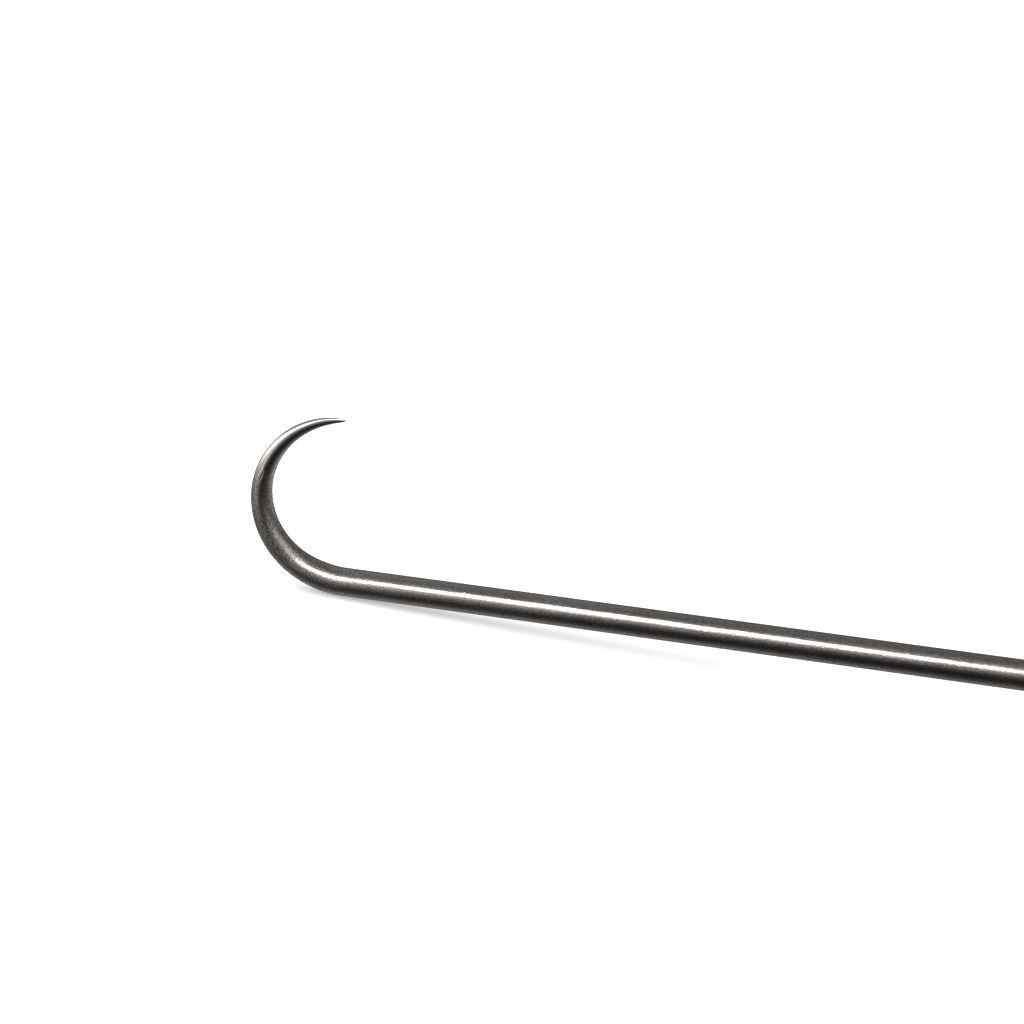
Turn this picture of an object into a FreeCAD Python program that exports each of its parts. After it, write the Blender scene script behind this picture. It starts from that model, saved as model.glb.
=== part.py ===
"""Hand meat hook: a ground, bent stainless bar bolted through a turned hardwood T-grip.

Design frame, in millimetres: the straight shank lies along +X, the bend starts at x = 0 and curls
through -X and up (+Z), and the grip's long axis is parallel to Y.  The finished assembly is tilted
about Y until the bend and the grip both touch z = 0, and then centred over the origin.
"""
import FreeCAD
import Part
import math
import os

V = FreeCAD.Vector

# ---- hook bar -------------------------------------------------------------------------------
BAR_D = 8.0             # round stock
HEEL_R = 27.9           # centreline radius of the first arc of the bend, next to the shank
HEEL_TURN = 25.0        # degrees
BACK_R = 22.2           # second, tighter arc round the back of the hook
BACK_TURN = 89.4
LIP_R = 25.4            # third, wider arc that leads to the point
LIP_TURN = 63.6
TAPER_START = 6.8       # length of the bend that keeps the full bar diameter
TAPER_P = 1.18          # the taper is tip + (bar - tip) * (1 - t**P)**Q over the tapered length
TAPER_Q = 0.63
TIP_R = 0.2             # radius left at the very point
TIP_FLATTEN = 0.30      # share of the side-to-side thickness ground away towards the point
FLATTEN_FROM = 0.55     # share of the tapered length where that grinding starts
BEND_SECTIONS = 26

# ---- grip -----------------------------------------------------------------------------------
GRIP_REACH = 232.0      # from the start of the bend to the grip's axis
GRIP_L = 112.0
GRIP_END_D = 31.0       # the largest diameter, near both ends, on which the grip rests
GRIP_MID_D = 30.0       # land that carries the bolster and the washer
GRIP_WAIST_D = 26.5
GRIP_LAND = 22.0        # length of the land
GRIP_END_ROUND = 7.0    # length of the rounding at each end
GRIP_FACE_D = 17.0      # flat at each end
WAIST_AT = 0.47         # place of the waist between the land and the end's crest, as a share
SEAT_MARGIN = 0.3       # how far a spot-face goes below the point where it is a full circle
SEAT_GAP = 0.1          # radial room round a part in its spot-face

# ---- tail, bush, bolster --------------------------------------------------------------------
TAIL_D = 6.0            # M6 size, thread modelled as its major diameter
TAIL_GAP = 0.1          # radial room round the tail in the bolster and the bush
TAIL_CHAMFER = 0.6
BUSH_WALL = 0.9
BUSH_GAP = 0.05         # radial room between the bush and the grip's cross-bore
BAR_GAP = 0.05          # radial room round the bar in the bolster
BOLSTER_L = 14.0
BOLSTER_NECK_WALL = 1.45
BOLSTER_COVE = 2.2      # radius of the hollow between the neck and the flange
BOLSTER_LIP = 0.3       # flat ring of the flange outside the hollow
BOLSTER_FLANGE_T = 2.2
BOLSTER_NOSE_R = 0.9    # rounding at the nose
BOLSTER_WEB = 2.8       # metal between the bar's shoulder and the grip

# ---- cross pin ------------------------------------------------------------------------------
PIN_D = 2.5
PIN_WALL = 0.5
PIN_SLOT = 0.5
PIN_RECESS = 1.0        # how far each end sits below the grip's surface
PIN_GAP = 0.02          # radial room in the wood, the bush and the tail

# ---- rear fasteners, M6 ---------------------------------------------------------------------
WASHER_GAP = 0.2        # radial room round the tail
WASHER_RIM = 2.8        # width of the ring
WASHER_T = 1.6
LOCK_GAP = 0.05
LOCK_RIM = 2.85
LOCK_T = 1.6
LOCK_SPLIT = 0.9        # width of the split
LOCK_SLANT = 20.0       # degrees off the axis
EDGE_BREAK = 0.2
NUT_WALL = 2.0          # from the tail to the middle of a flat
NUT_HEX_H = 6.3
NUT_H = 12.0
NUT_DOME_STEP = 0.25    # how far the dome is inside the flats
NUT_BORE_DEPTH = 8.5
NUT_CORNER_BREAK = 0.5  # how much of each corner the chamfer takes, and its height
THREAD_GAP = 0.05       # radial room in the nut
THREAD_END_GAP = 0.8    # room between the tail's end and the bottom of the nut's bore

# ---- sizes and places that follow from those above ------------------------------------------
TAIL_BORE_R = TAIL_D / 2 + TAIL_GAP
BAR_BORE_R = BAR_D / 2 + BAR_GAP
BUSH_R = TAIL_BORE_R + BUSH_WALL
NECK_R = BAR_BORE_R + BOLSTER_NECK_WALL
FLANGE_R = NECK_R + BOLSTER_COVE + BOLSTER_LIP
WASHER_BORE_R = TAIL_D / 2 + WASHER_GAP
WASHER_R = WASHER_BORE_R + WASHER_RIM
LOCK_BORE_R = TAIL_D / 2 + LOCK_GAP


def seat_depth(part_r):
    """Distance from the grip's axis to a flat on the land that is a full circle round part_r."""
    return math.sqrt((GRIP_MID_D / 2) ** 2 - (part_r + SEAT_GAP) ** 2) - SEAT_MARGIN


FRONT_SEAT = GRIP_REACH - seat_depth(FLANGE_R)
REAR_SEAT = GRIP_REACH + seat_depth(WASHER_R)
SHOULDER_X = FRONT_SEAT - BOLSTER_WEB
LOCK_X = REAR_SEAT + WASHER_T
NUT_X = LOCK_X + LOCK_T
TAIL_END = NUT_X + NUT_BORE_DEPTH - THREAD_END_GAP
DIAGONAL = math.sqrt(0.5)


def turned(profile, axis_point=V(0, 0, 0), axis=V(1, 0, 0)):
    """Solid of revolution of a closed wire."""
    return Part.Face(profile).revolve(axis_point, axis, 360)


def polyline(points):
    """Closed outline through (x, radius) points."""
    return Part.makePolygon([V(x, 0, r) for x, r in points + points[:1]])


def rod(radius, length, x):
    """Cylinder along +X from x."""
    return Part.makeCylinder(radius, length, V(x, 0, 0), V(1, 0, 0))


def ring(x, bore_r, outer_r, thickness):
    """Flat ring about the X axis from x to x + thickness, with broken outer edges."""
    end = x + thickness
    return turned(polyline([(x, bore_r), (x, outer_r - EDGE_BREAK), (x + EDGE_BREAK, outer_r),
                            (end - EDGE_BREAK, outer_r), (end, outer_r - EDGE_BREAK),
                            (end, bore_r)]))


def pin_hole(length):
    """Drill for the cross pin, along Z through the grip's axis."""
    radius = PIN_D / 2 + PIN_GAP
    return Part.makeCylinder(radius, length, V(GRIP_REACH, 0, -length / 2), V(0, 0, 1))


# ---- the bend -------------------------------------------------------------------------------
def bend_arcs():
    return [(HEEL_R, math.radians(HEEL_TURN)), (BACK_R, math.radians(BACK_TURN)),
            (LIP_R, math.radians(LIP_TURN))]


def bend_length():
    return sum(radius * turn for radius, turn in bend_arcs())


def bend_point(s):
    """Centre of the bar, and its heading in radians up from -X, at length s along the bend."""
    heading = 0.0
    centre = V(0, 0, 0)
    arcs = bend_arcs()
    for index, (radius, turn) in enumerate(arcs):
        last = index == len(arcs) - 1
        step = s / radius if last else min(s / radius, turn)
        centre += (spoke(heading + step) - spoke(heading)) * radius
        heading += step
        s -= radius * step
        if s <= 0:
            break
    return centre, heading


def spoke(heading):
    """Unit vector from the inside of the bend to the outside."""
    return V(-math.sin(heading), 0, -math.cos(heading))


def taper_share(s):
    return min(max((s - TAPER_START) / (bend_length() - TAPER_START), 0.0), 1.0)


def bar_radius(s):
    """Half thickness in the plane of the hook."""
    t = taper_share(s)
    return TIP_R + (BAR_D / 2 - TIP_R) * (1 - t ** TAPER_P) ** TAPER_Q


def side_radius(s):
    """Half thickness across the plane of the hook: flatter towards the ground point."""
    t = min(max((taper_share(s) - FLATTEN_FROM) / (1 - FLATTEN_FROM), 0.0), 1.0)
    ease = t * t * (3 - 2 * t)
    return bar_radius(s) * (1 - TIP_FLATTEN * ease)


def bend_section(s):
    centre, heading = bend_point(s)
    outline = Part.Wire(Part.Ellipse(V(0, 0, 0), bar_radius(s), side_radius(s)).toShape())
    outline.Placement = FreeCAD.Placement(centre, FreeCAD.Rotation(V(0, 1, 0),
                                                                   math.degrees(heading) + 90))
    return outline


def bend_solid():
    """Tapered, bent part of the bar, lofted through sections that crowd towards the point."""
    stations = [math.sin(math.pi / 2 * i / BEND_SECTIONS) * bend_length()
                for i in range(BEND_SECTIONS + 1)]
    return Part.makeLoft([bend_section(s) for s in stations], True, False)


def hook_shank():
    bar_r, tail_r = BAR_D / 2, TAIL_D / 2
    straight = turned(polyline([(0, 0), (0, bar_r), (SHOULDER_X, bar_r), (SHOULDER_X, tail_r),
                                (TAIL_END - TAIL_CHAMFER, tail_r),
                                (TAIL_END, tail_r - TAIL_CHAMFER), (TAIL_END, 0)]))
    return straight.cut(pin_hole(2 * TAIL_D)).fuse(bend_solid())


# ---- grip and its hardware ------------------------------------------------------------------
def smooth_edge(points, tangents):
    curve = Part.BSplineCurve()
    curve.interpolate(points, Tangents=tangents, TangentFlags=[True] * len(points))
    return curve.toShape()


def grip_profile():
    """Half section of the turned grip, in the plane x = GRIP_REACH: length along Y, radius along Z."""
    half, land = GRIP_L / 2, GRIP_LAND / 2
    mid_r, waist_r = GRIP_MID_D / 2, GRIP_WAIST_D / 2
    end_r, face_r = GRIP_END_D / 2, GRIP_FACE_D / 2
    crest = half - GRIP_END_ROUND
    waist = land + (crest - land) * WAIST_AT

    def at(y, r):
        return V(GRIP_REACH, y, r)

    edges = [Part.makeLine(at(-half, 0), at(half, 0)),
             Part.makeLine(at(-land, mid_r), at(land, mid_r))]
    for side in (-1, 1):
        along = V(0, side, 0)
        shoulder = at(side * (crest + DIAGONAL * GRIP_END_ROUND),
                      face_r + DIAGONAL * (end_r - face_r))
        turn = V(0, side * GRIP_END_ROUND, face_r - end_r)
        edges.append(smooth_edge([at(side * land, mid_r), at(side * waist, waist_r),
                                  at(side * crest, end_r)], [along] * 3))
        edges.append(smooth_edge([at(side * crest, end_r), shoulder, at(side * half, face_r)],
                                 [along, turn, V(0, 0, -1)]))
        edges.append(Part.makeLine(at(side * half, face_r), at(side * half, 0)))
    return Part.Wire(Part.__sortEdges__(edges))


def grip():
    body = turned(grip_profile(), V(GRIP_REACH, 0, 0), V(0, 1, 0))
    bore = rod(BUSH_R + BUSH_GAP, 2 * GRIP_MID_D, GRIP_REACH - GRIP_MID_D)
    front = rod(FLANGE_R + SEAT_GAP, GRIP_MID_D, FRONT_SEAT - GRIP_MID_D)
    rear = rod(WASHER_R + SEAT_GAP, GRIP_MID_D, REAR_SEAT)
    return body.cut(Part.Compound([bore, front, rear])).cut(pin_hole(2 * GRIP_MID_D))


def front_bolster():
    back = FRONT_SEAT
    flange_front = back - BOLSTER_FLANGE_T
    nose = back - BOLSTER_L
    cove_x, cove_r = flange_front - BOLSTER_COVE, NECK_R + BOLSTER_COVE
    nose_x, nose_r = nose + BOLSTER_NOSE_R, NECK_R - BOLSTER_NOSE_R

    def p(x, r):
        return V(x, 0, r)

    cove = Part.Arc(p(flange_front, cove_r),
                    p(cove_x + DIAGONAL * BOLSTER_COVE, cove_r - DIAGONAL * BOLSTER_COVE),
                    p(cove_x, NECK_R)).toShape()
    rounding = Part.Arc(p(nose_x, NECK_R),
                        p(nose_x - DIAGONAL * BOLSTER_NOSE_R, nose_r + DIAGONAL * BOLSTER_NOSE_R),
                        p(nose, nose_r)).toShape()
    corners = [p(nose, nose_r), p(nose, BAR_BORE_R), p(SHOULDER_X, BAR_BORE_R),
               p(SHOULDER_X, TAIL_BORE_R), p(back, TAIL_BORE_R), p(back, FLANGE_R - EDGE_BREAK),
               p(back - EDGE_BREAK, FLANGE_R), p(flange_front + EDGE_BREAK, FLANGE_R),
               p(flange_front, FLANGE_R - EDGE_BREAK), p(flange_front, cove_r)]
    lines = [Part.makeLine(a, b) for a, b in zip(corners, corners[1:])]
    neck = Part.makeLine(p(cove_x, NECK_R), p(nose_x, NECK_R))
    return turned(Part.Wire(Part.__sortEdges__(lines + [cove, neck, rounding])))


def grip_bush():
    tube = turned(polyline([(FRONT_SEAT, TAIL_BORE_R), (FRONT_SEAT, BUSH_R),
                            (REAR_SEAT, BUSH_R), (REAR_SEAT, TAIL_BORE_R)]))
    return tube.cut(pin_hole(4 * BUSH_R))


def cross_pin():
    """Slotted spring pin."""
    length = GRIP_MID_D - 2 * PIN_RECESS
    base = V(GRIP_REACH, 0, -length / 2)
    outer = Part.makeCylinder(PIN_D / 2, length, base, V(0, 0, 1))
    inner = Part.makeCylinder(PIN_D / 2 - PIN_WALL, length, base, V(0, 0, 1))
    slot = Part.makeBox(PIN_SLOT, PIN_D, length, base - V(PIN_SLOT / 2, 0, 0))
    return outer.cut(inner).cut(slot)


def rear_washer():
    return ring(REAR_SEAT, WASHER_BORE_R, WASHER_R, WASHER_T)


def lock_washer():
    """Split spring washer, tightened flat."""
    outer_r = LOCK_BORE_R + LOCK_RIM
    centre = V(LOCK_X + LOCK_T / 2, 0, 0)
    split = Part.makeBox(4 * LOCK_T, LOCK_SPLIT, 2 * outer_r,
                         centre - V(2 * LOCK_T, LOCK_SPLIT / 2, 0))
    split.rotate(centre, V(0, 0, 1), LOCK_SLANT)
    return ring(LOCK_X, LOCK_BORE_R, outer_r, LOCK_T).cut(split)


def dome_nut():
    flat_r = TAIL_D / 2 + NUT_WALL
    corner_r = flat_r / math.cos(math.radians(30))
    corners = [V(NUT_X, corner_r * math.sin(math.radians(60 * i)),
                 corner_r * math.cos(math.radians(60 * i))) for i in range(7)]
    prism = Part.Face(Part.makePolygon(corners)).extrude(V(NUT_HEX_H, 0, 0))
    top = NUT_X + NUT_HEX_H
    chamfers = turned(polyline([(NUT_X, 0), (NUT_X, corner_r - NUT_CORNER_BREAK),
                                (NUT_X + NUT_CORNER_BREAK / 2, corner_r),
                                (top - NUT_CORNER_BREAK, corner_r),
                                (top, corner_r - 2 * NUT_CORNER_BREAK), (top, 0)]))
    dome_r = flat_r - NUT_DOME_STEP
    dome_x = NUT_X + NUT_H - dome_r
    barrel = rod(dome_r, dome_x - NUT_X - EDGE_BREAK, NUT_X + EDGE_BREAK)
    dome = Part.makeSphere(dome_r, V(dome_x, 0, 0))
    solid = prism.common(chamfers).fuse([barrel, dome]).removeSplitter()
    return solid.cut(rod(TAIL_D / 2 + THREAD_GAP, NUT_BORE_DEPTH, NUT_X))


PARTS = {"hook_shank": hook_shank, "front_bolster": front_bolster, "grip": grip,
         "grip_bush": grip_bush, "cross_pin": cross_pin, "rear_washer": rear_washer,
         "lock_washer": lock_washer, "dome_nut": dome_nut}


def rest_tilt():
    """Angle, in degrees, at which the bend's heel and the grip stand on one plane."""
    drop = GRIP_END_D / 2 - BAR_D / 2 - HEEL_R
    reach = math.hypot(GRIP_REACH, HEEL_R)
    return math.degrees(math.atan2(HEEL_R, GRIP_REACH) + math.asin(drop / reach))


def main():
    shapes = {name: make() for name, make in PARTS.items()}
    for shape in shapes.values():
        shape.rotate(V(GRIP_REACH, 0, 0), V(0, 1, 0), -rest_tilt())
    box = Part.Compound(list(shapes.values())).optimalBoundingBox(False, False)
    shift = V(-(box.XMin + box.XMax) / 2, 0, GRIP_END_D / 2)
    os.makedirs("parts", exist_ok=True)
    for name, shape in shapes.items():
        shape.translate(shift)
        solids = shape.Solids
        result = solids[0] if len(solids) == 1 else Part.Compound(solids)
        result.exportStep("parts/" + name + ".step")
        print("%-14s solids %d valid %s volume %.1f mm3" %
              (name, len(solids), result.isValid(), result.Volume))
    print("tilt %.3f degrees, box x %.2f..%.2f y %.2f..%.2f z %.2f..%.2f" %
          (rest_tilt(), box.XMin + shift.x, box.XMax + shift.x, box.YMin, box.YMax,
           box.ZMin + shift.z, box.ZMax + shift.z))


main()
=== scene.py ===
"""Looks of the hand meat hook: a bent, ground steel bar with a turned hardwood T-grip.

Everything is in metres, in the frame of the CAD model.  "Tool space" is the hook laid out along
its own bar: the bend starts at the origin, the bar runs along +X and the hook curls up (+Z).
"""
import math
from collections import namedtuple
import bmesh
import bpy
from mathutils import Matrix, Vector


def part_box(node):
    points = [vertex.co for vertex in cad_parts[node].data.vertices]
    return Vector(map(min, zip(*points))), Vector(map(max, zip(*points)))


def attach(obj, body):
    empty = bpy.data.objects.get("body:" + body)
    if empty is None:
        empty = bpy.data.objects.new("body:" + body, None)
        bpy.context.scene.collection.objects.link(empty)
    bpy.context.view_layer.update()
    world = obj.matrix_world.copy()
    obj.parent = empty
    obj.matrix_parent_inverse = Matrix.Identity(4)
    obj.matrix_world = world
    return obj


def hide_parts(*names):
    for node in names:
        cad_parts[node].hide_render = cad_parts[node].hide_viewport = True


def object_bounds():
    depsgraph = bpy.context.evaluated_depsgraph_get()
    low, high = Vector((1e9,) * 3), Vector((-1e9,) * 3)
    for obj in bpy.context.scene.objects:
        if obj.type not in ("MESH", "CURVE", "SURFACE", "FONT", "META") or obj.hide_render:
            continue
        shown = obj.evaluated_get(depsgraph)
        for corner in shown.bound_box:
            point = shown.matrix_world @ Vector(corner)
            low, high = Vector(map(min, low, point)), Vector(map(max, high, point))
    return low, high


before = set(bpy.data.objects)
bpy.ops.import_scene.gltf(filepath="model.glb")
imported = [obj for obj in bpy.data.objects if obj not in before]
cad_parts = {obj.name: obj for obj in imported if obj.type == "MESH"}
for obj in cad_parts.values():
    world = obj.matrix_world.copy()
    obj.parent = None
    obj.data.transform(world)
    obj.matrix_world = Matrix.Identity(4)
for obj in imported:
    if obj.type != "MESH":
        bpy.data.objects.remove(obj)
cad_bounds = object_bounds()
MM = 0.001
DEGREES = 180 / math.pi      # in one radian

# ---- driving dimensions of the hook, as designed ------------------------------------------------
BAR_R = 4.0 * MM
TAIL_R = 3.0 * MM
TAIL_CHAMFER = 0.6 * MM
BEND_ARCS = ((27.9 * MM, math.radians(25.0)), (22.2 * MM, math.radians(89.4)),
             (25.4 * MM, math.radians(63.6)))
BEND_L = sum(radius * turn for radius, turn in BEND_ARCS)
TAPER_START = 6.8 * MM
TAPER_P, TAPER_Q = 1.18, 0.63
TIP_R = 0.2 * MM
TIP_FLATTEN, FLATTEN_FROM = 0.30, 0.55
GRIP_REACH = 232.0 * MM                  # from the start of the bend to the grip's axis
SHOULDER_X = GRIP_REACH - 15.12 * MM     # where the bar steps down, inside the bolster
TAIL_END_X = GRIP_REACH + 24.3 * MM      # inside the dome nut

# ---- places worked out from the frame -----------------------------------------------------------
Axis = namedtuple("Axis", "at along")    # the line that a turned piece was made about
GRIP_LOW, GRIP_HIGH = (Vector(corner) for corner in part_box("grip"))
GRIP_CENTRE = (GRIP_LOW + GRIP_HIGH) / 2
GRIP_HALF = (GRIP_HIGH.y - GRIP_LOW.y) / 2
GRIP_R = (GRIP_HIGH.z - GRIP_LOW.z) / 2


def tool_to_model():
    """Places tool space in the model: the grip's axis is fixed, and the bar leans on the bend."""
    heel_r = BEND_ARCS[0][0]
    drop = GRIP_R - BAR_R - heel_r
    tilt = math.atan2(heel_r, GRIP_REACH) + math.asin(drop / math.hypot(GRIP_REACH, heel_r))
    return (Matrix.Translation(GRIP_CENTRE) @ Matrix.Rotation(-tilt, 4, "Y")
            @ Matrix.Translation((-GRIP_REACH, 0, 0)))


TOOL = tool_to_model()
GRIP_AXIS = Axis(GRIP_CENTRE, Vector((0, 1, 0)))
BAR_AXIS = Axis(GRIP_CENTRE, TOOL.to_3x3() @ Vector((1, 0, 0)))

# ---- camera, placed in tool space ---------------------------------------------------------------
CAMERA_AT = Vector((122.28, -350.16, 154.21)) * MM
CAMERA_YAW = math.radians(12.17)
CAMERA_PITCH = math.radians(-19.58)
CAMERA_ROLL = math.radians(2.95)
LENS_MM, SENSOR_MM = 50.0, 36.0


def make_camera():
    data = bpy.data.cameras.new("camera")
    data.lens, data.sensor_width = LENS_MM, SENSOR_MM
    camera = bpy.data.objects.new("camera", data)
    bpy.context.collection.objects.link(camera)
    turn = (Matrix.Rotation(CAMERA_YAW, 4, "Z") @ Matrix.Rotation(math.radians(90) + CAMERA_PITCH, 4, "X")
            @ Matrix.Rotation(CAMERA_ROLL, 4, "Z"))
    camera.matrix_world = TOOL @ Matrix.Translation(CAMERA_AT) @ turn
    bpy.context.scene.camera = camera


# ---- node trees ---------------------------------------------------------------------------------
class Tree:
    """Short-hand for building the node tree of a material or a world."""

    def __init__(self, owner):
        owner.use_nodes = True
        self.nodes = owner.node_tree.nodes
        self.links = owner.node_tree.links
        self.nodes.clear()

    def add(self, kind, inputs=None, **settings):
        node = self.nodes.new(kind)
        for name, value in settings.items():
            setattr(node, name, value)
        for key, value in (inputs or {}).items():
            self.feed(node.inputs[key], value)
        return node

    def feed(self, socket, value):
        if isinstance(value, bpy.types.NodeSocket):
            self.links.new(value, socket)
        else:
            socket.default_value = value

    def math(self, operation, *values, clamp=False):
        node = self.add("ShaderNodeMath", operation=operation, use_clamp=clamp)
        for socket, value in zip(node.inputs, values):
            self.feed(socket, value)
        return node.outputs[0]

    def plus(self, a, b):
        return self.math("ADD", a, b)

    def minus(self, a, b):
        return self.math("SUBTRACT", a, b)

    def times(self, a, b):
        return self.math("MULTIPLY", a, b)

    def weighted(self, *terms, base=0.0):
        """Sum of the base and of each term, a value and its weight."""
        total = base
        for value, weight in terms:
            total = self.math("MULTIPLY_ADD", value, weight, total)
        return total

    def vector(self, operation, *values):
        node = self.add("ShaderNodeVectorMath", operation=operation)
        for socket, value in zip(node.inputs, values):
            self.feed(socket, value)
        return node.outputs["Value" if operation in ("DOT_PRODUCT", "LENGTH") else "Vector"]

    def ramp(self, value, start, end, low=0.0, high=1.0):
        """Smooth step of value from start to end."""
        node = self.add("ShaderNodeMapRange", {"Value": value, "From Min": start, "From Max": end,
                                               "To Min": low, "To Max": high},
                        interpolation_type="SMOOTHSTEP")
        return node.outputs["Result"]

    def window(self, value, start, full, full_end, end):
        """Smooth step up from start to full, and down again from full_end to end."""
        return self.times(self.ramp(value, start, full), self.ramp(value, full_end, end, 1.0, 0.0))

    def noise(self, vector, scale, detail=4.0, roughness=0.5, out="Fac"):
        node = self.add("ShaderNodeTexNoise", {"Vector": vector, "Scale": scale, "Detail": detail,
                                               "Roughness": roughness})
        return node.outputs[out]

    def stretch(self, vector, scale):
        node = self.add("ShaderNodeMapping", {"Vector": vector, "Scale": scale})
        return node.outputs["Vector"]

    def colours(self, value, *stops):
        """Colour ramp through the stops, each a place and a colour."""
        node = self.add("ShaderNodeValToRGB", {"Fac": value})
        ramp = node.color_ramp
        while len(ramp.elements) < len(stops):
            ramp.elements.new(0.5)
        for element, (place, colour) in zip(ramp.elements, stops):
            element.position = place
            element.color = (*colour, 1.0)
        return node.outputs["Color"]

    def mix(self, share, a, b, blend="MIX"):
        """Colour a turned into colour b by a share, where colours are sockets or three numbers."""
        node = self.add("ShaderNodeMix", data_type="RGBA", blend_type=blend)
        self.feed(node.inputs[0], share)
        for index, colour in ((6, a), (7, b)):
            self.feed(node.inputs[index], (*colour, 1) if isinstance(colour, tuple) else colour)
        return node.outputs[2]

    def product(self, a, b):
        return self.mix(1.0, a, b, blend="MULTIPLY")

    def bump(self, height, distance):
        return self.add("ShaderNodeBump", {"Height": height, "Distance": distance,
                                           "Strength": 1.0}).outputs["Normal"]


def material(name):
    made = bpy.data.materials.new(name)
    return made, Tree(made)


def principled(tree, inputs):
    shader = tree.add("ShaderNodeBsdfPrincipled", inputs)
    tree.add("ShaderNodeOutputMaterial", {"Surface": shader.outputs[0]})


# ---- studio -------------------------------------------------------------------------------------
# Round soft lights that only glossy surfaces see.  The azimuth is 0 in front and + to the right, and
# both angles are in degrees.
SoftLight = namedtuple("SoftLight", "name azimuth elevation narrowness strength")
SOFT_LIGHTS = (
    SoftLight("left wall", -135, 30, 2.8, 0.30),
    SoftLight("left front", -50, 22, 6.4, 0.90),
    SoftLight("narrow strip low in front", -41, -5, 90, 0.50),
    SoftLight("right fill", 50, 40, 6.0, 0.70),
    SoftLight("right wall behind", 150, -30, 3.3, 0.47),
    SoftLight("low left", -130, -45, 4.4, 0.34),
)
# Soft boxes are sheets.  Each edge is two tangents seen from the hook: at the left and lower edge the
# light starts and is full, at the right and upper edge it is still full and ends.  The bow lets the
# upper edge down at the sides, and the climb raises the lower edge to the right.
SoftBox = namedtuple("SoftBox", "name azimuth left right lower upper bow climb power")
SOFT_BOXES = (
    SoftBox("main box", azimuth=-5, left=(-1.05, 0.2), right=(-0.6, 1.8), lower=(0.10, 0.56),
            upper=(0.74, 0.82), bow=1.9, climb=0.33, power=5.2),
    SoftBox("side box", azimuth=-85, left=(-1.2, 0.8), right=(1.5, 1.9), lower=(-0.2, 0.4),
            upper=(0.15, 0.65), bow=0, climb=0, power=3.4),
)
BOW_LIMIT = 0.1              # of the side tangent, squared
BOX_DEPTH_LIMIT = 0.001      # keeps the tangents finite beside and behind a box
RIG_LEAN = 20                # degrees that the soft boxes and the glow lean back over the hook
# Glow on the table, as a natural logarithm: its value at level, its rise with each degree of
# elevation, and its limit.  Then the angles, in degrees, between which its left, right and top fade.
GLOW_AT_LEVEL, GLOW_RISE, GLOW_LIMIT = -1.71, 0.112, 0.3
GLOW_LEFT, GLOW_RIGHT, GLOW_TOP = (-24, -15), (8, 15), (15, 40)
WARM, WHITE = (1.0, 0.965, 0.935), (1, 1, 1)

FLOOR_HALF = 60.0
FLOOR_GAP = 0.05 * MM        # below the hook, so that the two surfaces never meet
FLOOR_SHADES = (0.93, 0.93, 0.93), (0.95, 0.95, 0.95)


def toward(azimuth, elevation, lean=0):
    """Unit vector of a direction given in tool space and degrees, turned to the model's frame."""
    azimuth, elevation = math.radians(azimuth), math.radians(elevation)
    aim = Vector((math.cos(elevation) * math.sin(azimuth), -math.cos(elevation) * math.cos(azimuth),
                  math.sin(elevation)))
    return TOOL.to_3x3() @ Matrix.Rotation(math.radians(-lean), 3, "X") @ aim


def rig_parts(tree, direction, azimuth=0):
    """How far a direction goes ahead, right and up, seen from the hook towards a leaning box."""
    return [tree.vector("DOT_PRODUCT", direction, toward(*angles, RIG_LEAN))
            for angles in ((azimuth, 0), (azimuth + 90, 0), (0, 90))]


def soft_light(tree, direction, light):
    """Round patch of light that fades from its middle."""
    aim = toward(light.azimuth, light.elevation)
    away = tree.minus(tree.vector("DOT_PRODUCT", direction, aim), 1.0)
    return tree.times(tree.math("EXPONENT", tree.times(away, light.narrowness)), light.strength)


def soft_box(tree, direction, box):
    """Sheet of light with soft edges."""
    ahead, right, up = rig_parts(tree, direction, box.azimuth)
    depth = tree.math("MAXIMUM", ahead, BOX_DEPTH_LIMIT)
    rise = tree.math("DIVIDE", up, depth)
    side = tree.math("DIVIDE", right, depth)
    bowed = tree.times(tree.math("MINIMUM", tree.times(side, side), BOW_LIMIT), box.bow)
    climbing = tree.times(tree.math("MAXIMUM", side, 0.0), box.climb)
    bottom = tree.ramp(tree.minus(rise, climbing), *box.lower)
    top = tree.ramp(tree.plus(rise, bowed), *box.upper, 1.0, 0.0)
    sheet = tree.times(tree.window(side, *box.left, *box.right), tree.times(bottom, top))
    in_front = tree.math("GREATER_THAN", ahead, 0.0)
    return tree.times(tree.times(sheet, in_front), box.power)


def table_glow(tree, direction):
    """Glow of the main box on the table in front of the hook."""
    ahead, right, up = rig_parts(tree, direction)
    elevation = tree.times(tree.math("ARCSINE", up), DEGREES)
    azimuth = tree.times(tree.math("ARCTAN2", right, ahead), DEGREES)
    glow = tree.plus(tree.times(elevation, GLOW_RISE), GLOW_AT_LEVEL)
    glow = tree.math("EXPONENT", tree.math("MINIMUM", glow, GLOW_LIMIT))
    glow = tree.times(glow, tree.window(azimuth, *GLOW_LEFT, *GLOW_RIGHT))
    return tree.times(glow, tree.ramp(elevation, *GLOW_TOP, 1.0, 0.0))


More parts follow.
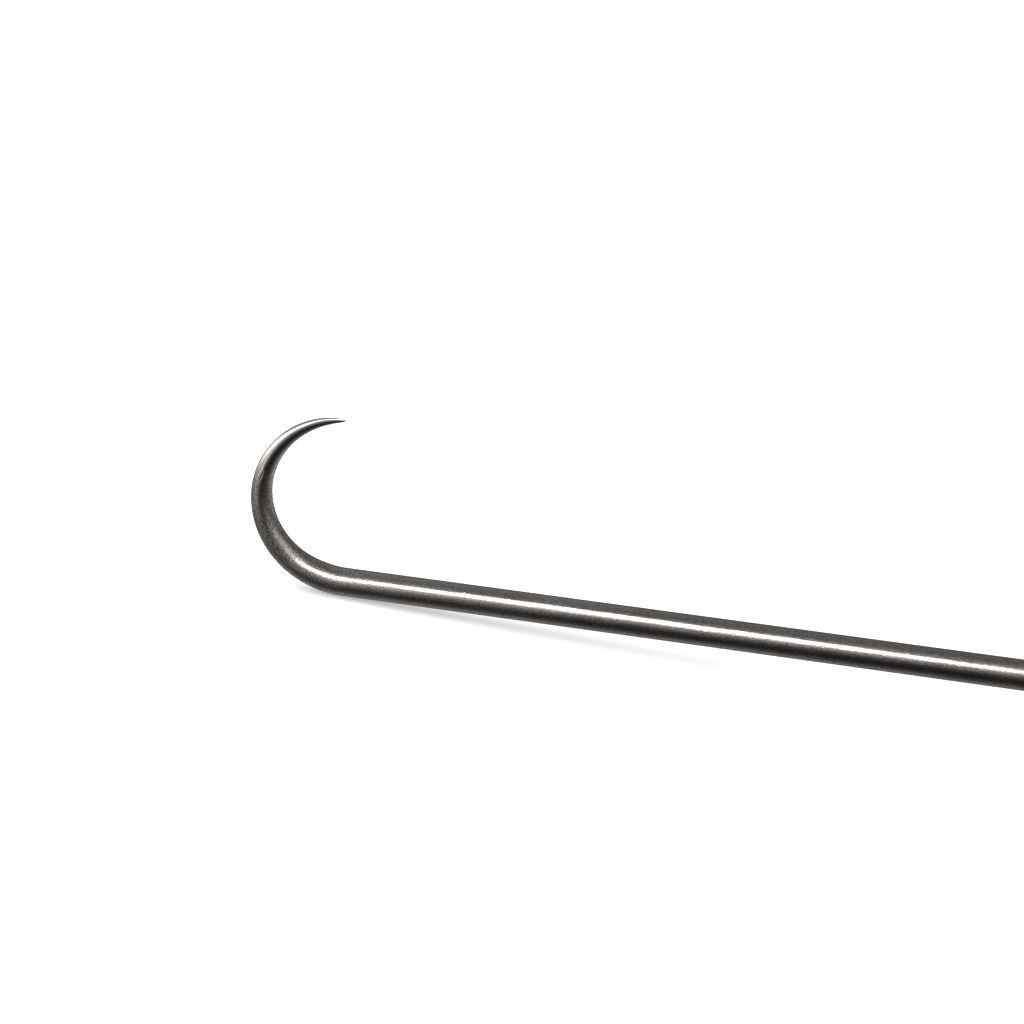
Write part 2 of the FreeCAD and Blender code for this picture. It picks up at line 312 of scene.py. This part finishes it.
def make_world():
    """White to the eye and to matt surfaces, while metal sees a dim studio with soft boxes."""
    world = bpy.data.worlds.new("studio")
    bpy.context.scene.world = world
    world.cycles.sampling_method = "NONE"
    tree = Tree(world)
    direction = tree.add("ShaderNodeTexCoord").outputs["Generated"]
    lights = [soft_light(tree, direction, light) for light in SOFT_LIGHTS]
    lights += [soft_box(tree, direction, box) for box in SOFT_BOXES]
    lights.append(table_glow(tree, direction))
    total = 0.0
    for light in lights:
        total = tree.plus(total, light)
    path = tree.add("ShaderNodeLightPath").outputs
    matt = tree.math("ADD", path["Is Camera Ray"], path["Is Diffuse Ray"], clamp=True)
    strength = tree.add("ShaderNodeMix", {0: matt, 2: total, 3: 1.0}).outputs[0]
    background = tree.add("ShaderNodeBackground", {"Color": tree.mix(matt, WARM, WHITE),
                                                   "Strength": strength})
    tree.add("ShaderNodeOutputWorld", {"Surface": background.outputs[0]})


def make_floor():
    mesh = bpy.data.meshes.new("floor")
    corners = [(-FLOOR_HALF, -FLOOR_HALF, 0), (FLOOR_HALF, -FLOOR_HALF, 0),
               (FLOOR_HALF, FLOOR_HALF, 0), (-FLOOR_HALF, FLOOR_HALF, 0)]
    mesh.from_pydata(corners, [], [(0, 1, 2, 3)])
    floor = bpy.data.objects.new("floor", mesh)
    bpy.context.collection.objects.link(floor)
    floor.location.z = cad_bounds[0][2] - FLOOR_GAP
    floor.visible_glossy = False
    made, tree = material("pale_floor")
    place = tree.add("ShaderNodeTexCoord").outputs["Object"]
    shade = tree.colours(tree.noise(place, scale=3.0), (0.3, FLOOR_SHADES[0]), (0.7, FLOOR_SHADES[1]))
    principled(tree, {"Base Color": shade, "Roughness": 0.9, "Emission Color": (*WHITE, 1),
                      "Emission Strength": 0.3})
    mesh.materials.append(made)


def add_light(name, kind, power):
    """A lamp that lights the scene, and that metal doesn't mirror."""
    data = bpy.data.lights.new(name, kind)
    data.energy = power
    light = bpy.data.objects.new(name, data)
    bpy.context.collection.objects.link(light)
    light.visible_glossy = False
    return light


def make_lamps():
    fill = add_light("fill", "SUN", power=0.55)
    fill.data.angle = math.radians(60)
    fill.rotation_euler = (math.radians(-20), math.radians(-25), 0)
    overhead = add_light("overhead", "AREA", power=3)
    overhead.data.shape = "DISK"
    overhead.data.size = 1.0
    overhead.location = (-0.5, -0.5, 1.2)
    overhead.rotation_euler = (-overhead.location).to_track_quat("-Z", "Y").to_euler()
    overhead.visible_camera = False


# ---- hook bar -----------------------------------------------------------------------------------
AROUND = 96                  # corners round the bar
SHANK_ROWS, BEND_ROWS = 80, 320
ROW_EASING = 0.9             # under 1, the bend's first rows are a little further apart
SHOULDER_CHAMFER = 0.1 * MM
SHANK_START = 1.0 * MM       # of evenly spaced rows, from the shoulder
END_CENTRE_R = 0.02 * MM     # radius of the small facet in the middle of the tail's end
DOME_ANGLES = (30, 60, 85)   # rows of the dome that closes the point
DOME_HEIGHT = 0.6 * TIP_R
Row = namedtuple("Row", "centre outward in_plane side length")


def spoke(heading):
    """Unit vector from the inside of the bend to the outside."""
    return Vector((-math.sin(heading), 0, -math.cos(heading)))


def bend_point(length):
    """Centre of the bar and its heading up from -X, at a length along the bend, in tool space."""
    centre, heading = Vector((0, 0, 0)), 0.0
    for index, (radius, turn) in enumerate(BEND_ARCS):
        last = index == len(BEND_ARCS) - 1
        step = length / radius if last else min(length / radius, turn)
        centre += (spoke(heading + step) - spoke(heading)) * radius
        heading += step
        length -= radius * step
        if length <= 0:
            break
    return centre, heading


def clamped_share(value, start, end):
    return min(max((value - start) / (end - start), 0.0), 1.0)


def bar_radius(length):
    """Half the bar's thickness in the plane of the hook."""
    taper = clamped_share(length, TAPER_START, BEND_L)
    return TIP_R + (BAR_R - TIP_R) * (1 - taper ** TAPER_P) ** TAPER_Q


def side_radius(length):
    """Half its thickness across that plane, where the point is ground flatter."""
    ground = clamped_share(clamped_share(length, TAPER_START, BEND_L), FLATTEN_FROM, 1)
    return bar_radius(length) * (1 - TIP_FLATTEN * ground * ground * (3 - 2 * ground))


def straight_rows():
    """Rows from the end of the tail, past the shoulder, to the start of the bend."""
    first = SHOULDER_X - SHANK_START
    profile = [(TAIL_END_X, END_CENTRE_R), (TAIL_END_X, TAIL_R - TAIL_CHAMFER),
               (TAIL_END_X - TAIL_CHAMFER, TAIL_R), (SHOULDER_X, TAIL_R),
               (SHOULDER_X, BAR_R - SHOULDER_CHAMFER), (SHOULDER_X - SHOULDER_CHAMFER, BAR_R)]
    profile += [(first * (1 - row / SHANK_ROWS), BAR_R) for row in range(SHANK_ROWS)]
    return [Row(Vector((x, 0, 0)), spoke(0), radius, radius, -x) for x, radius in profile]


def bend_rows():
    """Rows along the bend, closer together towards the point."""
    rows = []
    for row in range(BEND_ROWS + 1):
        length = math.sin(math.pi / 2 * (row / BEND_ROWS) ** ROW_EASING) * BEND_L
        centre, heading = bend_point(length)
        rows.append(Row(centre, spoke(heading), bar_radius(length), side_radius(length), length))
    return rows


def dome_rows():
    """Rows of the small dome that closes the point."""
    tip, heading = bend_point(BEND_L)
    ahead = Vector((-math.cos(heading), 0, math.sin(heading)))
    rows = []
    for angle in map(math.radians, DOME_ANGLES):
        rows.append(Row(tip + ahead * DOME_HEIGHT * math.sin(angle), spoke(heading),
                        TIP_R * math.cos(angle), side_radius(BEND_L) * math.cos(angle), BEND_L))
    return rows


def bar_corners(rows):
    """Corners of the surface, kept in the CAD model's box, and where each is along and round the bar."""
    corners, unrolled = [], []
    for row in rows:
        for step in range(AROUND):
            angle = 2 * math.pi * step / AROUND
            out, beside = math.cos(angle), math.sin(angle)
            point = row.centre + row.outward * (row.in_plane * out) + Vector((0, row.side * beside, 0))
            corners.append([min(max(value, low), high)
                            for value, low, high in zip(TOOL @ point, *cad_bounds)])
            unrolled += [BAR_R * out, BAR_R * beside, row.length]
    return corners, unrolled


def bar_faces(row_count):
    """Quads between the rows, and a flat face on each end."""
    faces = []
    for first in range(0, (row_count - 1) * AROUND, AROUND):
        for step in range(AROUND):
            a, b = first + step, first + (step + 1) % AROUND
            faces.append((a, b, b + AROUND, a + AROUND))
    last = (row_count - 1) * AROUND
    faces.append(tuple(range(AROUND))[::-1])
    faces.append(tuple(range(last, last + AROUND)))
    return faces


def make_bar():
    """The whole bar as one surface, from the threaded tail's end to the point."""
    rows = straight_rows() + bend_rows() + dome_rows()
    corners, unrolled = bar_corners(rows)
    mesh = bpy.data.meshes.new("hook_bar")
    mesh.from_pydata(corners, [], bar_faces(len(rows)))
    mesh.validate()
    mesh.attributes.new("along", "FLOAT_VECTOR", "POINT").data.foreach_set("vector", unrolled)
    bar = bpy.data.objects.new("hook_bar", mesh)
    bpy.context.collection.objects.link(bar)
    turn_faces_out(mesh)
    mesh.shade_smooth()
    mesh.materials.append(bar_steel())
    return bar


def turn_faces_out(mesh):
    work = bmesh.new()
    work.from_mesh(mesh)
    bmesh.ops.recalc_face_normals(work, faces=work.faces)
    work.to_mesh(mesh)
    work.free()


# ---- steels -------------------------------------------------------------------------------------
# Lengths along the bend, negative on the shank.
GROUND_EDGE = (42 * MM, 46 * MM)         # where the bright ground point begins
GROUND_STREAKS = 9 * MM                  # how ragged that edge is
SPECKLE_EDGE = (-10 * MM, 12 * MM)       # where drawn lines give way to a speckled grain
SATIN_DARK, SATIN_LIGHT = (0.51, 0.495, 0.485), (0.60, 0.585, 0.575)
SPECKLE_DARK, SPECKLE_LIGHT = (0.46, 0.455, 0.45), (1.42, 1.41, 1.40)
DRAWN_DARK, DRAWN_LIGHT = (0.88, 0.87, 0.87), (1.08, 1.08, 1.08)
GROUND_STEEL = (0.62, 0.60, 0.59)
OXIDE_DARK, OXIDE_LIGHT, RUBBED = (0.10, 0.095, 0.095), (0.20, 0.185, 0.175), (0.46, 0.45, 0.44)


def bar_steel():
    """Satin stainless bar with a fine speckled grain; the point is ground bright."""
    made, tree = material("bar_steel")
    along = tree.add("ShaderNodeAttribute", attribute_name="along").outputs["Vector"]
    length = tree.add("ShaderNodeSeparateXYZ", {"Vector": along}).outputs["Z"]
    # grinding the point leaves a ragged edge of streaks
    streak = tree.minus(tree.noise(tree.stretch(along, (1, 1, 0.12)), scale=1400.0), 0.5)
    ground = tree.ramp(tree.weighted((streak, GROUND_STREAKS), base=length), *GROUND_EDGE)
    matt = tree.minus(1.0, ground)
    bend = tree.ramp(length, *SPECKLE_EDGE)
    grain = tree.noise(tree.stretch(along, (1, 1, 0.6)), scale=2400.0, detail=3.0, roughness=0.65)
    fine = tree.noise(tree.stretch(along, (1, 1, 0.4)), scale=6500.0, detail=2.0)
    drawn = tree.noise(tree.stretch(along, (1, 1, 0.03)), scale=2600.0, detail=2.0)
    cloud = tree.noise(along, scale=140.0, detail=3.0)
    pit = tree.add("ShaderNodeTexVoronoi", {"Vector": along, "Scale": 420.0}).outputs["Distance"]
    unpitted = tree.ramp(pit, 0.06, 0.16)
    height = tree.times(tree.weighted((fine, 0.25), base=grain), tree.weighted((bend, 0.35), base=0.65))
    height = tree.weighted((drawn, 0.4), (unpitted, 0.4), base=height)
    height = tree.times(height, tree.weighted((matt, 0.96), base=0.04))
    satin = tree.weighted((cloud, 0.10), base=0.10)
    rough = tree.times(satin, tree.weighted((matt, 0.78), base=0.22))
    tint = tree.colours(cloud, (0.3, SATIN_DARK), (0.7, SATIN_LIGHT))
    speckle = tree.colours(grain, (0.36, SPECKLE_DARK), (0.64, SPECKLE_LIGHT))
    lines = tree.colours(drawn, (0.3, DRAWN_DARK), (0.7, DRAWN_LIGHT))
    speckle = tree.mix(tree.weighted((bend, 0.5), base=0.45), lines, speckle)
    shade = tree.mix(ground, tree.product(tint, speckle), GROUND_STEEL)
    principled(tree, {"Base Color": shade, "Metallic": 1.0, "Roughness": rough,
                      "Normal": tree.bump(height, 0.055 * MM), "Specular Tint": (0.3, 0.3, 0.3, 1)})
    return made


def turning(tree, axis):
    """Place seen from a turning axis, and the lengths along it and from it that lathe marks follow."""
    place = tree.add("ShaderNodeTexCoord").outputs["Object"]
    off = tree.vector("SUBTRACT", place, axis.at)
    length = tree.vector("DOT_PRODUCT", off, axis.along)
    radius = tree.vector("LENGTH", tree.vector("CROSS_PRODUCT", off, axis.along))
    return off, length, radius


def turned_steel(name, colour, roughness, groove=0.35):
    """Lathe-turned steel: fine rings round its axis, faint smudges and a few fine scratches."""
    made, tree = material(name)
    off, length, radius = turning(tree, BAR_AXIS)
    rings = tree.add("ShaderNodeCombineXYZ", {"X": length, "Y": radius}).outputs[0]
    coarse = tree.noise(rings, scale=2600.0, detail=3.0, roughness=0.7)
    fine = tree.noise(rings, scale=9000.0, detail=2.0, roughness=0.6)
    smudge = tree.noise(off, scale=220.0, detail=4.0, roughness=0.6)
    scratch = tree.noise(tree.stretch(off, (140, 900, 2600)), scale=1.0, detail=2.0)
    scratch = tree.ramp(scratch, 0.66, 0.74)
    rough = tree.weighted((tree.minus(smudge, 0.45), 0.22), (scratch, 0.12), base=roughness)
    height = tree.weighted((coarse, groove), (fine, groove * 0.6), (scratch, -0.25))
    darker = tuple(0.82 * channel for channel in colour)
    shade = tree.colours(tree.weighted((coarse, 0.5), (smudge, 0.5)), (0.35, darker), (0.62, colour))
    principled(tree, {"Base Color": shade, "Metallic": 1.0, "Roughness": rough,
                      "Normal": tree.bump(height, 0.02 * MM)})
    return made


def spring_steel(name):
    """Hardened spring steel: dark, with a thin mottled oxide that has rubbed bright in places."""
    made, tree = material(name)
    place = tree.add("ShaderNodeTexCoord").outputs["Object"]
    mottle = tree.noise(place, scale=900.0, detail=5.0, roughness=0.65)
    grain = tree.noise(place, scale=6000.0, detail=3.0, roughness=0.6)
    rubbed = tree.ramp(tree.noise(place, scale=350.0, detail=3.0, roughness=0.6), 0.52, 0.66)
    oxide = tree.colours(mottle, (0.3, OXIDE_DARK), (0.7, OXIDE_LIGHT))
    shade = tree.mix(tree.times(rubbed, 0.7), oxide, RUBBED)
    principled(tree, {"Base Color": shade, "Metallic": 1.0,
                      "Roughness": tree.weighted((mottle, 0.2), base=0.24),
                      "Normal": tree.bump(tree.weighted((grain, 0.5), base=mottle), 0.015 * MM)})
    return made


# ---- wood ---------------------------------------------------------------------------------------
FROM_PITH = (24 * MM, 0, 31 * MM)        # from the middle of the tree to the middle of the grip
RING_WIDTH = 1.7 * MM
RING_WANDER = 9 * MM                     # how far the rings stray along the grain
# Distances from the middle of the grip: where end grain begins and is full, and where the
# darkening from the hand is full and ends.
END_GRAIN = (GRIP_HALF - 2.2 * MM, GRIP_HALF - 0.4 * MM)
HELD = (6 * MM, 44 * MM)
CREST = (14.2 * MM, 15.4 * MM)           # radii where scuffs begin and are full
WOOD_STOPS = ((0.22, (0.440, 0.245, 0.118)), (0.45, (0.345, 0.170, 0.074)),
              (0.68, (0.235, 0.100, 0.040)), (0.92, (0.135, 0.052, 0.021)))
FLECK, PORE, SCUFFED = (0.16, 0.062, 0.026), (0.060, 0.024, 0.011), (0.52, 0.33, 0.19)
OILED_END = (0.56, 0.50, 0.46)
CLEAN, HANDLED = (1.06, 1.05, 1.04), (0.74, 0.68, 0.62)


def late_wood(tree, off, patch):
    """Dark share of the growth rings, which wander a little along the grain."""
    slow = tree.noise(tree.stretch(off, (1, 0.22, 1)), scale=26.0, detail=2.0, out="Color")
    wander = tree.vector("MULTIPLY", tree.vector("ADD", slow, (-0.5,) * 3), (RING_WANDER,) * 3)
    place = tree.vector("ADD", tree.vector("ADD", off, wander), FROM_PITH)
    from_pith = tree.vector("LENGTH", tree.vector("MULTIPLY", place, (1, 0.03, 1)))
    ring = tree.math("FRACT", tree.weighted((from_pith, 1 / RING_WIDTH), (patch, 1.6)))
    return tree.window(ring, 0.25, 0.93, 0.94, 1.0)


def fibres(tree, off, late):
    """Long fibres, open pores between the dark rings, and flecks, all drawn out along the grain."""
    fibre = tree.noise(tree.stretch(off, (1, 0.018, 1)), scale=2100.0, detail=4.0, roughness=0.6)
    pore = tree.noise(tree.stretch(off, (1, 0.045, 1)), scale=2900.0, detail=2.0, roughness=0.4)
    pore = tree.times(tree.ramp(pore, 0.60, 0.68), tree.minus(1.0, late))
    fleck = tree.ramp(tree.noise(tree.stretch(off, (1, 0.09, 1)), scale=900.0, detail=2.0), 0.62, 0.70)
    return fibre, pore, fleck


def wear(tree, off, length, radius, patch):
    """End grain that soaks up oil, a middle handled dark, and scuffs on the crests near both ends."""
    from_middle = tree.math("ABSOLUTE", length)
    end = tree.ramp(from_middle, *END_GRAIN)
    held = tree.times(tree.ramp(from_middle, *HELD, 1.0, 0.0), 0.9)
    held = tree.times(held, tree.plus(0.35, patch))
    scuff = tree.noise(tree.stretch(off, (1, 0.5, 1)), scale=420.0, detail=5.0, roughness=0.7)
    scuff = tree.times(tree.ramp(scuff, 0.60, 0.72), tree.ramp(radius, *CREST))
    return end, held, scuff


def wood():
    """Oiled hardwood turned along its grain: growth rings about an off-centre pith, pores, flecks,
    end grain, faint lathe lines, and wear where a hand holds it."""
    made, tree = material("grip_wood")
    off, length, radius = turning(tree, GRIP_AXIS)
    patch = tree.noise(off, scale=38.0, detail=3.0, roughness=0.6)
    late = late_wood(tree, off, patch)
    fibre, pore, fleck = fibres(tree, off, late)
    end, held, scuff = wear(tree, off, length, radius, patch)
    shade = tree.colours(tree.weighted((late, 0.38), (fibre, 0.52), (patch, 0.22)), *WOOD_STOPS)
    shade = tree.mix(tree.times(fleck, 0.35), shade, FLECK)
    shade = tree.mix(tree.times(pore, 0.75), shade, PORE)
    shade = tree.product(shade, tree.colours(end, (0.0, WHITE), (1.0, OILED_END)))
    shade = tree.product(shade, tree.colours(held, (0.0, CLEAN), (1.0, HANDLED)))
    shade = tree.mix(tree.times(scuff, 0.42), shade, SCUFFED)
    rough = tree.weighted((fibre, 0.16), (end, 0.18), (scuff, 0.2), (held, -0.10), base=0.34)
    lathe = tree.add("ShaderNodeCombineXYZ", {"Y": length}).outputs[0]
    lathe = tree.noise(lathe, scale=1500.0, detail=2.0)
    height = tree.weighted((fibre, 0.5), (late, 0.25), (pore, -0.9), (lathe, 0.18), (scuff, -0.4))
    principled(tree, {"Base Color": shade, "Roughness": rough, "Coat Weight": 0.12,
                      "Coat Roughness": 0.3, "Normal": tree.bump(height, 0.06 * MM)})
    return made


def repaint(node, made):
    for material_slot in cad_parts[node].material_slots:
        material_slot.material = made


# ---- build --------------------------------------------------------------------------------------
make_camera()
make_world()
make_floor()
make_lamps()

bar = make_bar()
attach(bar, "root")
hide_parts("hook_shank")
repaint("front_bolster", turned_steel("turned_steel", colour=(0.60, 0.59, 0.58), roughness=0.20))
repaint("grip_bush", turned_steel("bush_steel", colour=(0.55, 0.54, 0.53), roughness=0.28))
repaint("rear_washer", turned_steel("washer_steel", (0.66, 0.65, 0.64), roughness=0.22, groove=0.2))
repaint("dome_nut", turned_steel("nut_steel", (0.68, 0.67, 0.66), roughness=0.13, groove=0.08))
repaint("lock_washer", spring_steel("lock_steel"))
repaint("cross_pin", spring_steel("pin_steel"))
repaint("grip", wood())

bpy.context.scene.view_settings.view_transform = "Standard"
